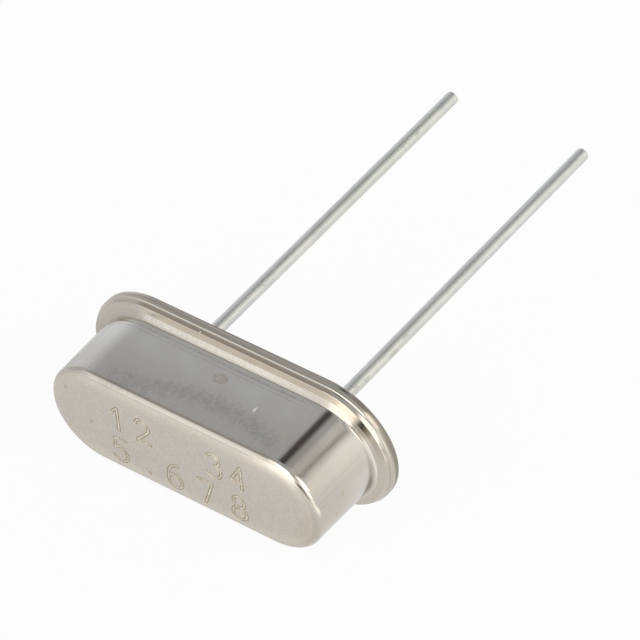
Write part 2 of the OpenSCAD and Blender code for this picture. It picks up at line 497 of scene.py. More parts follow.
# ------------------------ base, glass and leads
def build_base(materials):
    """Stamped base: rim, recess with two collars, and the raised middle with two eyelets."""
    bm = bmesh.new()
    stations = oval_stations(spread(-HALF_CORE, HALF_CORE, 0.2), 64)
    outside = profile([
        (PLATEAU_R - 0.13, PLATEAU_Z, 0),
        (PLATEAU_R, PLATEAU_Z, 0.12),
        (PLATEAU_R, RIM_T + (RIM_R - PLATEAU_R) * FLANGE_SLOPE, 0),
        (RIM_R - 0.024, RIM_T, 0.012),
        (RIM_R, RIM_T / 2, 0.3),
        (RIM_R - 0.012, 0, 0.06),
        (RECESS_R, 0, 0.08),
        (RECESS_R, RECESS_Z, 0.08),
        (RECESS_R - 0.1, RECESS_Z, 0)], steps=8, longest=0.15)[1:-1]
    top_ring, recess_ring = sweep(bm, stations, outside, lambda r, z: 0)
    top_holes, recess_holes = [], []
    for x in (-LEAD_X, LEAD_X):
        collar = profile([
            (COLLAR_R + 0.06, RECESS_Z, 0),
            (COLLAR_R, RECESS_Z, 0.05),
            (COLLAR_R, COLLAR_Z, 0.04),
            (EYELET_R, COLLAR_Z, 0.03),
            (EYELET_R, PLATEAU_Z, 0.03),
            (EYELET_R + 0.05, PLATEAU_Z, 0)], steps=6)[1:-1]
        rings = revolve(bm, x, [(p.x, p.y) for p in collar])
        recess_holes.append(rings[0])
        top_holes.append(rings[-1])
    patch(bm, top_ring, top_holes, [], lambda x, y: PLATEAU_Z)
    patch(bm, recess_ring, recess_holes, [], lambda x, y: RECESS_Z)
    return new_piece("base_plate", bm, materials, "base_nickel", "base_header")


def build_bead(side, name, material):
    """Glass bead with a concave meniscus that climbs the lead at both ends."""
    bm = bmesh.new()
    climb = [(PIN_R + 0.002 + 0.2 * t, 0.06 * (1 - t) ** 2.4) for t in [i / 8 for i in range(9)]]
    lower = [(r, BEAD_Z - h) for r, h in climb]
    lower += [(EYELET_R - 0.04, BEAD_Z), (EYELET_R, BEAD_Z - 0.012)]
    upper = [(r, PLATEAU_Z + h) for r, h in climb]
    upper += [(EYELET_R - 0.04, PLATEAU_Z), (EYELET_R, PLATEAU_Z - 0.01)]
    path = [(PIN_R, BEAD_Z - 0.06)] + lower + upper[::-1] + [(PIN_R, PLATEAU_Z + 0.06)]
    rings = revolve(bm, side * LEAD_X, path)
    bridge(bm, rings[-1], rings[0])
    node = "glass_seal_left" if side < 0 else "glass_seal_right"
    return new_piece(name, bm, [material], "seal_glass", node)


# Radius and height above the tip of the lead's domed cut end
LEAD_DOME = [(0.0, 0.0), (0.07, 0.003), (0.13, 0.011), (0.17, 0.024), (0.197, 0.044), (0.209, 0.062),
             (LEAD_R - 0.003, 0.085)]


def build_lead(side, name, materials):
    """Round wire with a domed cut end, a finely uneven tin coat and a bare inner end."""
    bm = bmesh.new()

    def wobble(t, z):
        if z > TIN_FADE_Z or z < -LEAD_L + 0.06:
            return 0
        p = Vector((math.cos(t) * 0.9, math.sin(t) * 0.9, z * 1.6 + 40 * side))
        q = Vector((math.cos(t) * 1.8, math.sin(t) * 1.8, z * 5 + 90 * side))
        return -0.003 + 0.0028 * noise.noise(p) + 0.0014 * noise.noise(q)

    end = [(r, h - LEAD_L) for r, h in LEAD_DOME]
    length = LEAD_L - 0.12 + TIN_FADE_Z
    count = round(length / 0.06)
    body = [(LEAD_R, -LEAD_L + 0.12 + length * k / count) for k in range(count + 1)]
    thinner, higher = (PIN_R - LEAD_R) / 8, (TIN_END_Z - TIN_FADE_Z) / 8
    fade = [(LEAD_R + thinner * k, TIN_FADE_Z + higher * k) for k in range(1, 9)]
    inner = [(PIN_R, LEAD_TOP_Z - 0.02), (PIN_R - 0.02, LEAD_TOP_Z), (0.0, LEAD_TOP_Z)]
    revolve(bm, side * LEAD_X, end + body + fade + inner, sides=40, wobble=wobble)
    for face in bm.faces:
        if face.calc_center_median().z > TIN_END_Z:
            face.material_index = 1
    node = "lead_left" if side < 0 else "lead_right"
    return new_piece(name, bm, materials, "tinned_wire", node)


# ------------------------ materials
class Nodes:
    """Short calls for building a node tree."""

    def __init__(self, tree):
        self.tree = tree

    def add(self, kind, inputs=(), **settings):
        """A new node with the given settings and inputs."""
        node = self.tree.nodes.new(kind)
        for key, value in settings.items():
            setattr(node, key, value)
        for key, value in dict(inputs).items():
            self.put(node.inputs[key], value)
        return node

    def put(self, socket, value):
        """Links a socket to another node's output, or sets its value."""
        if isinstance(value, bpy.types.NodeSocket):
            self.tree.links.new(value, socket)
        else:
            socket.default_value = value

    def math(self, operation, *values):
        node = self.add("ShaderNodeMath", operation=operation)
        for socket, value in zip(node.inputs, values):
            self.put(socket, value)
        return node.outputs[0]

    def product(self, first, *others):
        """All the values multiplied together."""
        result = first
        for value in others:
            result = self.math("MULTIPLY", result, value)
        return result

    def vector(self, operation, *values):
        node = self.add("ShaderNodeVectorMath", operation=operation)
        for socket, value in zip(node.inputs, values):
            self.put(socket, value)
        return node.outputs["Value" if operation in ("DOT_PRODUCT", "LENGTH") else "Vector"]

    def scaled(self, vector, factor):
        """The vector times a number."""
        node = self.add("ShaderNodeVectorMath", {"Vector": vector, "Scale": factor}, operation="SCALE")
        return node.outputs["Vector"]

    def axes(self, vector):
        """The x, y and z of a vector."""
        return self.add("ShaderNodeSeparateXYZ", {"Vector": vector}).outputs

    def blend(self, factor, a, b):
        """Colour a where the factor is 0, and b where it is 1."""
        node = self.add("ShaderNodeMix", data_type="RGBA")
        for key, value in ((0, factor), (6, a), (7, b)):
            self.put(node.inputs[key], value)
        return node.outputs[2]

    def paint(self, colour, share, strength, target):
        """The colour, blended towards the target by the given strength where the share is 1."""
        return self.blend(self.math("MULTIPLY", share, strength), colour, target)

    def mapped(self, value, low, high, to_low=0.0, to_high=1.0, smooth=True):
        """to_low where the value is at or below low, rising or falling to to_high at high."""
        kind = "SMOOTHSTEP" if smooth else "LINEAR"
        node = self.add("ShaderNodeMapRange", interpolation_type=kind)
        for key, v in ((0, value), (1, low), (2, high), (3, to_low), (4, to_high)):
            self.put(node.inputs[key], v)
        return node.outputs[0]

    def falling(self, value, low, high):
        """1 where the value is at or below low, falling to 0 at high."""
        return self.mapped(value, low, high, 1.0, 0.0)

    def noise(self, vector, scale, detail=3.0, roughness=0.5):
        """Noise of the given scale, in cells per millimetre."""
        node = self.add("ShaderNodeTexNoise", {
            "Vector": vector, "Scale": scale, "Detail": detail, "Roughness": roughness})
        return node.outputs["Fac"]

    def stretched_noise(self, vector, scales, detail, roughness, scale=1.0):
        """Noise with its own scale along each axis."""
        return self.noise(self.vector("MULTIPLY", vector, scales), scale, detail, roughness)


def new_material(name):
    """A material with a Principled shader. Returns it, its Nodes, the shader and standing millimetres."""
    material = bpy.data.materials.new(name)
    material.use_nodes = True
    n = Nodes(material.node_tree)
    shader = next(x for x in material.node_tree.nodes if x.type == "BSDF_PRINCIPLED")
    place = n.add("ShaderNodeMapping", {
        "Vector": n.add("ShaderNodeTexCoord").outputs["Object"],
        "Location": BASE_CENTRE, "Rotation": TURN.to_euler(), "Scale": (MM, MM, MM)}, vector_type="TEXTURE")
    return material, n, shader, place.outputs["Vector"]


def bump(n, shader, height, distance, strength=1.0):
    """Adds a bump of the given height in millimetres for a height map from 0 to 1."""
    node = n.add("ShaderNodeBump", {"Height": height, "Distance": distance * MM, "Strength": strength})
    n.put(shader.inputs["Normal"], node.outputs["Normal"])


def metal(n, shader, colour, roughness):
    """Makes the shader a bare metal of the given colour and roughness."""
    n.put(shader.inputs["Base Color"], colour)
    shader.inputs["Metallic"].default_value = 1.0
    n.put(shader.inputs["Roughness"], roughness)


def spot(n, place, centre, size, soft=0.3):
    """1 inside an ellipsoid at centre with the given half sizes, falling to 0 outside it."""
    offset = n.vector("SUBTRACT", place, centre)
    far = n.vector("LENGTH", n.vector("DIVIDE", offset, size))
    return n.falling(far, 1 - soft, 1 + soft)


def line_at(n, value, centre, half):
    """1 where the value is at centre, falling to 0 at the given distance from it."""
    return n.falling(n.math("ABSOLUTE", n.math("SUBTRACT", value, centre)), 0.0, half)


def radius_from_core(n, mm):
    """Distance from the oval's core line."""
    x, y, _ = n.axes(mm)
    past = n.math("MAXIMUM", n.math("SUBTRACT", n.math("ABSOLUTE", x), HALF_CORE), 0.0)
    return n.math("SQRT", n.math("ADD", n.math("POWER", past, 2.0), n.math("POWER", y, 2.0)))


def outline_grain(n, mm, r, scale):
    """Noise in fine lines that follow the oval's outline, on level and on upright faces."""
    _, _, z = n.axes(mm)
    step = n.product(n.math("SUBTRACT", r, z), scale)
    step = n.add("ShaderNodeCombineXYZ", {"X": step}).outputs[0]
    drift = n.vector("MULTIPLY", mm, (0.5, 0.5, 0.0))
    return n.noise(n.vector("ADD", step, drift), 1.0, 2, 0.5)


# ------------------------ nickel-plated can and base
NICKEL = (0.64, 0.595, 0.535, 1)
NICKEL_DARK = (0.60, 0.545, 0.475, 1)
NICKEL_WARM = (0.66, 0.60, 0.51, 1)
WALL_PAINTED_PALE = (0.71, 0.68, 0.63, 1)         # towards the flange, a painted reflection
WALL_DEEP = (0.635, 0.595, 0.54, 1)       # towards the top edge
SCUFFED = (0.40, 0.395, 0.38, 1)
DULL_LINE = (0.42, 0.39, 0.35, 1)
# Painted shade for the wall's foot at its right end
PAINTED_FOOT_SHADE = (0.28, 0.265, 0.24, 1)
MARK_FILL = (0.60, 0.53, 0.44, 1)
MARK_OUTLINE = (0.47, 0.41, 0.33, 1)
# Painted highlight for fine lines round the flange's right end
PAINTED_HIGHLIGHT = (0.97, 0.93, 0.86, 1)
# Wear marks on the flange's inner band, brightened as a painted sheen
FLANGE_WEAR_SHEEN = (0.76, 0.725, 0.665, 1)
# Painted sheen on the marked face towards its edges
PAINTED_EDGE_SHEEN = (0.73, 0.67, 0.59, 1)
# Painted dark reflection on the base rim's side at its right end
RIM_PAINTED_DARK = (0.29, 0.255, 0.215, 1)
STROKE_BROWN = (0.38, 0.31, 0.19, 1)
STROKE_HALO = (0.60, 0.54, 0.42, 1)
STROKE_GLINT = (0.95, 0.92, 0.86, 1)

NICK = (1.72, TOP_R + 0.02, 1.78)         # nick in the wall's upper side, painted near-white as a glint
FOOT_SHADE_CENTRE = (4.84, -0.78, 0.79)           # painted shade at the wall's foot, at the right end


def scuffs(n, mm, x, z, strokes, ragged):
    """Dull wear: a ragged band along the wall, and smears between it and the top edge."""
    # The band hangs lowest right of the middle and bends up towards the can's ends
    centre = n.math("MULTIPLY_ADD", n.math("POWER", n.math("SUBTRACT", x, 0.7), 2.0), 0.085, 2.2)
    above = n.math("SUBTRACT", n.math("SUBTRACT", z, centre), n.product(ragged, 0.9))
    within = n.falling(n.math("ABSOLUTE", above), 0.05, 0.45)
    between_ends = n.falling(n.math("ABSOLUTE", x), 2.8, 3.3)
    band = n.product(within, between_ends, n.mapped(strokes, 0.38, 0.62, 0.25, 1.0))
    patches = n.mapped(n.stretched_noise(mm, (3, 3, 1.6), 3, 0.6), 0.44, 0.62)
    left_half = spot(n, mm, (-1.9, TOP_R, 2.8), (1.2, 0.5, 0.4), 0.5)
    smears = n.product(patches, left_half, n.mapped(strokes, 0.38, 0.62, 0.3, 1.0))
    return n.math("MAXIMUM", band, smears)


def ring_mark(n, mm, colour, upper, strokes):
    """The colour with the ring-shaped mark on it: a tan patch with a blurred darker outline."""
    bent = n.add("ShaderNodeTexNoise", {"Vector": mm, "Scale": 6.0, "Detail": 2.0}).outputs["Color"]
    bent = n.scaled(n.vector("SUBTRACT", bent, (0.5, 0.5, 0.5)), 0.35)
    offset = n.vector("SUBTRACT", mm, (RING_MARK[0], 0, RING_MARK[1]))
    offset = n.vector("DIVIDE", offset, (RING_MARK_SIZE[0], 1, RING_MARK_SIZE[1]))
    far = n.vector("LENGTH", n.vector("MULTIPLY", n.vector("ADD", offset, bent), (1, 0, 1)))
    filled = n.product(n.falling(far, 0.7, 1.1), upper, n.mapped(strokes, 0.35, 0.6, 0.3, 0.8))
    outline = n.product(line_at(n, far, 1.0, 0.34), upper, n.mapped(strokes, 0.4, 0.6, 0.3, 0.85))
    return n.paint(n.blend(filled, colour, MARK_FILL), outline, 0.8, MARK_OUTLINE)


def foot_lines(n, x, z, upper, ragged):
    """Dull patchy lines where the wall's upper side meets the flange, up to the right end's arc."""
    lines = n.math("MAXIMUM", line_at(n, z, NECK_Z, 0.04), n.product(line_at(n, z, 0.79, 0.09), 1.2))
    return n.product(lines, upper, n.falling(x, 2.3, 3.2), n.mapped(ragged, -0.12, 0.1, 0.45, 1.0))


def nickel_wall():
    """Drawn wall: bright satin, paler towards the flange as a painted reflection, with its wear, marks and
    dull lines, painted shade at its foot's right end and a nick painted near-white as a glint.
    """
    material, n, shader, mm = new_material("nickel_wall")
    x, y, z = n.axes(mm)
    upper = n.mapped(y, 1.2, 1.7)
    drawn = n.stretched_noise(mm, (13, 13, 1.2), 4, 0.6)
    strokes = n.stretched_noise(mm, (15, 15, 9), 6, 0.75)
    ragged = n.math("SUBTRACT", n.stretched_noise(mm, (5.5, 5.5, 3), 5, 0.65), 0.5)
    cloud = n.noise(mm, 1.1, 3, 0.5)
    worn = n.product(scuffs(n, mm, x, z, strokes, ragged), upper)
    # Painted reflection: the wall is paler towards the flange than towards the top edge
    colour = n.blend(n.mapped(z, 1.2, 2.3), WALL_PAINTED_PALE, WALL_DEEP)
    colour = n.paint(colour, n.mapped(cloud, 0.35, 0.7), 0.5, NICKEL_WARM)
    colour = n.paint(colour, worn, 0.66, SCUFFED)
    # Drawn lines, darker towards the top edge as part of the painted reflection
    faint = n.product(n.mapped(drawn, 0.4, 0.7), n.mapped(z, 1.9, 2.9))
    colour = n.paint(colour, faint, 0.3, (0.5, 0.48, 0.45, 1))
    colour = ring_mark(n, mm, colour, upper, strokes)
    colour = n.paint(colour, foot_lines(n, x, z, upper, ragged), 0.4, DULL_LINE)
    # Painted shade at the wall's foot round the right end
    colour = n.paint(colour, spot(n, mm, FOOT_SHADE_CENTRE, (0.5, 0.66, 0.25), 0.45), 0.85, PAINTED_FOOT_SHADE)
    for place, size in FRECKLES:
        freckle = spot(n, mm, place, (size, size, size), 0.6)
        colour = n.paint(colour, freckle, 0.45, (0.52, 0.45, 0.35, 1))
    # A real nick, painted near-white as a glint, and rougher
    nick = spot(n, mm, NICK, (0.04, 0.2, 0.11))
    colour = n.blend(nick, colour, (0.96, 0.94, 0.9, 1))
    rough = n.math("MULTIPLY_ADD", worn, 0.05, n.mapped(drawn, 0.3, 0.7, 0.09, 0.14))
    metal(n, shader, colour, n.math("MULTIPLY_ADD", nick, 0.5, rough))
    bump(n, shader, n.math("MULTIPLY_ADD", worn, -0.5, drawn), 0.0008, 0.5)
    return material


def worn_band_with_sheen(n, x, y, r, marks):
    """Short marks on the flange's inner band, brightened with a painted sheen, on its upper side and fainter
    to the right.
    """
    band = n.product(n.mapped(r, 1.84, 1.9), n.falling(r, 1.99, 2.05), n.mapped(y, 1.4, 1.8))
    along = n.product(n.mapped(x, -3.6, -3.1), n.mapped(x, 0.8, 3.2, 1.0, 0.2))
    return n.product(band, n.mapped(marks, 0.3, 0.6, 0.3, 1.0), along)


def right_end_painted_lines(n, colour, x, y, z, r):
    """The colour with fine painted lines round the flange's right end: a painted highlight in the fillet,
    and on the flange's edge a painted highlight below a line of painted shade."""
    edge = n.mapped(r, 2.2, 2.24)
    dull = n.product(line_at(n, z, 0.4, 0.05), edge, n.mapped(x, 4.4, 4.65))
    lip = n.product(line_at(n, z, 0.315, 0.04), edge, n.mapped(x, 4.3, 4.55), n.falling(x, 4.9, 5.1))
    fillet = n.product(line_at(n, r, 1.88, 0.06), n.mapped(x, 4.05, 4.3), n.mapped(y, -0.6, 0.4, 0.3, 1.0))
    # A line of painted shade on the flange's edge
    colour = n.paint(colour, dull, 0.6, (0.44, 0.40, 0.35, 1))
    # Painted highlights in the fillet and on the flange's edge
    return n.blend(n.math("MAXIMUM", fillet, lip), colour, PAINTED_HIGHLIGHT)


def nickel_flange():
    """Flange: painted shade in the fillet, an inner band covered in short marks with a painted sheen, then a
    smooth band with lines along it.
    """
    material, n, shader, mm = new_material("nickel_flange")
    x, y, z = n.axes(mm)
    r = radius_from_core(n, mm)
    lines = outline_grain(n, mm, r, 30.0)
    grain = n.noise(mm, 22.0, 3, 0.6)
    marks = n.stretched_noise(mm, (9, 3.5, 3.5), 4, 0.7)
    cloud = n.noise(mm, 1.6, 3, 0.5)
    worn = worn_band_with_sheen(n, x, y, r, marks)
    colour = n.blend(n.mapped(cloud, 0.3, 0.7), (0.60, 0.55, 0.49, 1), (0.61, 0.56, 0.485, 1))
    # Painted shade in the fillet where the wall meets the flange
    colour = n.paint(colour, n.falling(r, 1.82, 1.93), 0.2, (0.44, 0.41, 0.37, 1))
    streaks = n.product(n.mapped(lines, 0.5, 0.65), n.mapped(r, 2.02, 2.08))
    colour = n.paint(colour, streaks, 0.5, (0.76, 0.71, 0.64, 1))
    colour = n.paint(colour, n.mapped(grain, 0.5, 0.65), 0.3, (0.76, 0.72, 0.65, 1))
    colour = right_end_painted_lines(n, colour, x, y, z, r)
    # Wear marks on the inner band with a painted sheen
    colour = n.blend(worn, colour, FLANGE_WEAR_SHEEN)
    # A real fleck on the flange, painted near-white as a glint
    fleck = spot(n, mm, FLANGE_FLECK, (0.035, 0.035, 0.05))
    colour = n.blend(fleck, colour, (0.98, 0.97, 0.95, 1))
    rough = n.math("MULTIPLY_ADD", worn, 0.1, n.mapped(grain, 0.3, 0.7, 0.11, 0.17))
    metal(n, shader, colour, n.math("MULTIPLY_ADD", fleck, 0.4, rough))
    height = n.math("MULTIPLY_ADD", marks, 0.7, n.product(lines, 0.5))
    bump(n, shader, height, 0.0012, 0.6)
    return material


def nickel_base():
    """Stamped base: duller, with lines that follow its outline, and a painted dark reflection on the rim's
    right end.
    """
    material, n, shader, mm = new_material("nickel_base")
    x, _, z = n.axes(mm)
    r = radius_from_core(n, mm)
    lines = outline_grain(n, mm, r, 26.0)
    grain = n.noise(mm, 22.0, 3, 0.6)
    cloud = n.noise(mm, 1.6, 3, 0.5)
    colour = n.blend(n.mapped(cloud, 0.3, 0.7), NICKEL_DARK, (0.64, 0.585, 0.505, 1))
    lined = n.product(n.mapped(lines, 0.45, 0.6), n.mapped(r, 2.15, 2.27, 0.25, 0.7))
    colour = n.blend(lined, colour, (0.38, 0.335, 0.285, 1))
    # Painted dark reflection low on the rim's side at its right end
    upper_rim = n.mapped(z, 0.16, 0.21, 1.0, 0.1)
    rim_dark_reflection = n.product(n.mapped(x, 3.8, 4.3), n.mapped(r, 2.2, 2.27), upper_rim)
    colour = n.paint(colour, rim_dark_reflection, 0.8, RIM_PAINTED_DARK)
    metal(n, shader, colour, n.mapped(grain, 0.3, 0.7, 0.14, 0.22))
    bump(n, shader, n.math("MULTIPLY_ADD", grain, 0.6, lines), 0.0014, 0.6)
    return material


def marking(n, mm, colour, mottle):
    """The colour with the digits' strokes: two brown lines in a tan halo, with a glint between them."""
    distance = n.add("ShaderNodeAttribute", attribute_name="stroke").outputs["Fac"]
    off = n.math("ABSOLUTE", n.math("SUBTRACT", distance, OUTLINE))
    patchy = n.mapped(n.noise(mm, 5.0, 3, 0.6), 0.3, 0.55, 0.35, 1.0)
    line = n.product(n.falling(off, 0.008, 0.026), patchy)
    glint = n.product(n.falling(distance, 0.006, 0.028), n.mapped(mottle, 0.45, 0.6))
    colour = n.blend(n.mapped(distance, 0.03, 0.11, 0.35, 0.0), colour, STROKE_HALO)
    colour = n.paint(colour, line, 0.95, STROKE_BROWN)
    return n.paint(colour, glint, 0.95, STROKE_GLINT)


def nickel_face():
    """Marked face: speckled satin with faint cross streaks, smoother and brightened with a painted sheen at
    its upper and right edges.
    """
    material, n, shader, mm = new_material("nickel_face")
    x, _, _ = n.axes(mm)
    r = radius_from_core(n, mm)
    speckle = n.noise(mm, 24.0, 3, 0.65)
    mottle = n.stretched_noise(mm, (6.0, 4.0, 4.0), 3, 0.6)
    streaks = n.stretched_noise(mm, (5.0, 0.9, 1.0), 3, 0.6)
    cloud = n.noise(mm, 0.8, 3, 0.5)
    right = n.mapped(x, -4.3, -3.1)
    colour = n.blend(n.mapped(cloud, 0.3, 0.7), NICKEL, (0.63, 0.59, 0.535, 1))
    colour = n.paint(colour, n.mapped(r, 0.9, 1.4), 0.5, NICKEL_WARM)
    # Painted sheen towards the face's edges, except at its left end
    edge_sheen_mask = n.product(n.mapped(r, 1.15, 1.6, smooth=False), right)
    colour = n.paint(colour, edge_sheen_mask, 0.9, PAINTED_EDGE_SHEEN)
    colour = n.paint(colour, n.mapped(mottle, 0.4, 0.65), 0.22, (0.55, 0.515, 0.465, 1))
    colour = n.paint(colour, n.mapped(streaks, 0.45, 0.75), 0.3, (0.58, 0.545, 0.49, 1))
    colour = marking(n, mm, colour, mottle)
    for pit_x, pit_y, size in FACE_PITS:
        pit = spot(n, mm, (pit_x, pit_y, CAN_H), (size, size, 0.2))
        colour = n.paint(colour, pit, 0.6, (0.36, 0.34, 0.31, 1))
    smooth = n.product(n.mapped(r, 1.2, 1.6, smooth=False), right)
    rough = n.mapped(speckle, 0.3, 0.7, 0.24, 0.34)
    metal(n, shader, colour, n.math("MULTIPLY_ADD", n.math("SUBTRACT", 0.16, rough), smooth, rough))
    bump(n, shader, n.math("MULTIPLY_ADD", mottle, 0.8, speckle), 0.0013, 0.6)
    return material


# ------------------------ wires, glass and the hidden pieces
def tinned_wire():
    """Hot-dipped tin: pale cool grey, soft dimples and a few darker spots."""
    material, n, shader, mm = new_material("tinned_wire")
    dimples = n.stretched_noise(mm, (3, 3, 1.6), 3, 0.5)
    grain = n.noise(mm, 20.0, 3, 0.6)
    stain = n.mapped(n.stretched_noise(mm, (4, 4, 2.0), 2, 0.5, scale=1.3), 0.62, 0.72)
    colour = n.blend(n.mapped(dimples, 0.3, 0.7), (0.71, 0.71, 0.68, 1), (0.79, 0.785, 0.745, 1))
    colour = n.paint(colour, stain, 0.5, (0.5, 0.49, 0.45, 1))
    metal(n, shader, colour, n.mapped(grain, 0.3, 0.7, 0.33, 0.42))
    bump(n, shader, n.math("MULTIPLY_ADD", grain, 0.12, dimples), 0.008, 0.6)
    return material


def bare_wire():
    """Bare iron-nickel wire inside the base."""
    material, n, shader, mm = new_material("bare_wire")
    drawn = n.stretched_noise(mm, (30, 30, 1.0), 3, 0.6)
    colour = n.blend(drawn, (0.38, 0.36, 0.33, 1), (0.5, 0.48, 0.44, 1))
    metal(n, shader, colour, n.mapped(drawn, 0.3, 0.7, 0.3, 0.42))
    bump(n, shader, drawn, 0.001, 0.6)
    return material


def seal_glass():
    """Dark sealing glass with tiny bubbles and a glossy surface."""
    material, n, shader, mm = new_material("seal_glass")
    bubbles = n.add("ShaderNodeTexVoronoi", {"Vector": mm, "Scale": 14.0}).outputs["Distance"]
    cloud = n.noise(mm, 3.0, 3, 0.5)
    n.put(shader.inputs["Base Color"], n.blend(cloud, (0.016, 0.03, 0.034, 1), (0.03, 0.05, 0.055, 1)))
    shader.inputs["IOR"].default_value = 1.55
    n.put(shader.inputs["Roughness"], n.mapped(cloud, 0.3, 0.7, 0.06, 0.14))
    bump(n, shader, n.mapped(bubbles, 0.0, 0.25), 0.002, 0.4)
    return material


def clip_nickel():
    """Rolled nickel strip with fine rolling lines."""
    material, n, shader, mm = new_material("clip_nickel")
    lines = n.stretched_noise(mm, (1.5, 40, 6), 3, 0.6)
    colour = n.blend(lines, (0.6, 0.56, 0.5, 1), (0.68, 0.64, 0.58, 1))
    metal(n, shader, colour, n.mapped(lines, 0.3, 0.7, 0.22, 0.32))
    bump(n, shader, lines, 0.001, 0.5)
    return material


def quartz():
    """Lapped quartz: clear with a fine frosted surface."""
    material, n, shader, mm = new_material("quartz")
    frost = n.noise(mm, 40.0, 3, 0.6)
    n.put(shader.inputs["Base Color"], n.blend(frost, (0.88, 0.91, 0.93, 1), (0.95, 0.97, 0.98, 1)))
    shader.inputs["IOR"].default_value = 1.544
    shader.inputs["Transmission Weight"].default_value = 0.85
    n.put(shader.inputs["Roughness"], n.mapped(frost, 0.3, 0.7, 0.25, 0.4))
    bump(n, shader, frost, 0.0008, 0.5)
    return material


def silver_film():
    """Evaporated silver, which takes on the lapped surface's fine grain."""
    material, n, shader, mm = new_material("silver_film")
    grain = n.noise(mm, 36.0, 3, 0.6)
    cloud = n.noise(mm, 1.5, 2, 0.5)
    colour = n.blend(cloud, (0.84, 0.82, 0.77, 1), (0.88, 0.86, 0.82, 1))
    metal(n, shader, colour, n.mapped(grain, 0.3, 0.7, 0.28, 0.38))
    bump(n, shader, grain, 0.001, 0.5)
    return material


def silver_epoxy():
    """Silver-filled epoxy: dull, with bright flakes in it."""
    material, n, shader, mm = new_material("silver_epoxy")
    flakes = n.add("ShaderNodeTexVoronoi", {"Vector": mm, "Scale": 60.0}).outputs["Color"]
    grey = n.vector("DOT_PRODUCT", flakes, (0.33, 0.33, 0.33))
    n.put(shader.inputs["Base Color"], n.blend(grey, (0.42, 0.42, 0.4, 1), (0.72, 0.72, 0.7, 1)))
    n.put(shader.inputs["Metallic"], n.mapped(grey, 0.4, 0.6, 0.2, 0.9))
    shader.inputs["Roughness"].default_value = 0.55
    bump(n, shader, grey, 0.004, 0.6)
    return material


# ------------------------ studio
def direction(azimuth, elevation):
    """Unit vector at an azimuth from +Y towards +X and an elevation, in degrees."""
    a, e = math.radians(azimuth), math.radians(elevation)
    return Vector((math.sin(a) * math.cos(e), math.cos(a) * math.cos(e), math.sin(e)))


def panel(n, ray, azimuth, elevation, half_width, half_height, soft):
    """How much of a soft-edged rectangular panel a direction meets, from 0 to 1. Sizes are in degrees."""
    middle = direction(azimuth, elevation)
    side = direction(azimuth + 90, 0)
    rise = side.cross(middle)
    ahead = n.vector("DOT_PRODUCT", ray, tuple(middle))
    share = n.mapped(ahead, 0.0, 0.1)
    for axis, half in ((side, half_width), (rise, half_height)):
        offset = n.math("ABSOLUTE", n.math("ARCTAN2", n.vector("DOT_PRODUCT", ray, tuple(axis)), ahead))
        low, high = math.radians(half - soft), math.radians(half + soft)
        share = n.product(share, n.falling(offset, low, high))
    return share


# Panels of the light tent: azimuth and elevation, half width, half height and softness of their edges,
# all in degrees, and their light. A later panel covers an earlier one.
PANELS = [
    ((-98, 18), (25, 28, 6), (0.60, 0.605, 0.61)),       # grey side
    ((-31, 20), (11, 25, 4), (0.38, 0.375, 0.36)),       # dark back
    ((208, -3), (14, 23, 8), (1.1, 1.1, 1.07)),          # pale strip beside the front softbox
    ((225, 48), (17, 14, 5), (0.40, 0.375, 0.34)),       # shade above it
    ((152, 12), (16, 36, 4), (1.05, 1.04, 1.01)),        # pale strip between the softboxes
    ((160, 22), (4.5, 16, 2), (0.65, 0.63, 0.58)),       # darker strip along it
    ((185.5, 20.5), (20, 26, 3), (1.5, 1.48, 1.45)),     # front softbox
    ((179, 20), (14, 22, 3), (2.4, 2.37, 2.3)),          # its bright middle
    ((109, 38), (27, 14, 3), (2.08, 2.03, 1.94)),        # right softbox
    ((121, 12), (16, 14, 4), (2.08, 2.03, 1.94)),        # and its lower part
    ((157, -1), (4.2, 5, 1.2), (0.03, 0.025, 0.02)),     # dark gap beside it
    ((144, 42), (11, 16, 4), (0.55, 0.55, 0.54)),        # camera
    ((17, 67), (8, 9, 3), (0.41, 0.42, 0.42)),           # shade beside the slot
    ((-11, 68.5), (6.1, 12, 3.8), (0.07, 0.065, 0.06)),  # slot in the tent's top
    ((56.6, 49), (0.6, 14, 0.45), (0.06, 0.06, 0.05)),   # seam in the tent
]


def tent_light(n, ray):
    """Light of the tent in each direction: cool on the left, paler on the right and grey above."""
    x, _, z = n.axes(ray)
    left = n.blend(n.mapped(z, 0.33, 0.88), (0.77, 0.81, 0.86, 1), (0.48, 0.50, 0.52, 1))
    right = n.blend(n.mapped(z, 0.5, 0.76), (1.0, 1.0, 0.97, 1), (0.63, 0.63, 0.61, 1))
    right = n.blend(n.mapped(z, 0.0, 0.3), (0.88, 0.88, 0.86, 1), right)
    light = n.blend(n.mapped(x, 0.12, 0.4), left, right)
    for place, size, shine in PANELS:
        light = n.blend(panel(n, ray, *place, *size), light, (*shine, 1))
    return light


def build_world():
    """White to the camera. Everything else is lit by, and mirrors, a light tent with two softboxes."""
    world = bpy.data.worlds.new("studio")
    bpy.context.scene.world = world
    world.use_nodes = True
    n = Nodes(world.node_tree)
    n.tree.nodes.clear()
    ray = n.add("ShaderNodeTexCoord").outputs["Generated"]
    tent = n.add("ShaderNodeBackground", {"Color": tent_light(n, ray), "Strength": 1.0})
    white = n.add("ShaderNodeBackground", {"Color": (1, 1, 1, 1), "Strength": 1.0})
    path = n.add("ShaderNodeLightPath")
    mixed = n.add("ShaderNodeMixShader", {0: path.outputs["Is Camera Ray"]})
    n.put(mixed.inputs[1], tent.outputs[0])
    n.put(mixed.inputs[2], white.outputs[0])
    n.add("ShaderNodeOutputWorld", {"Surface": mixed.outputs[0]})


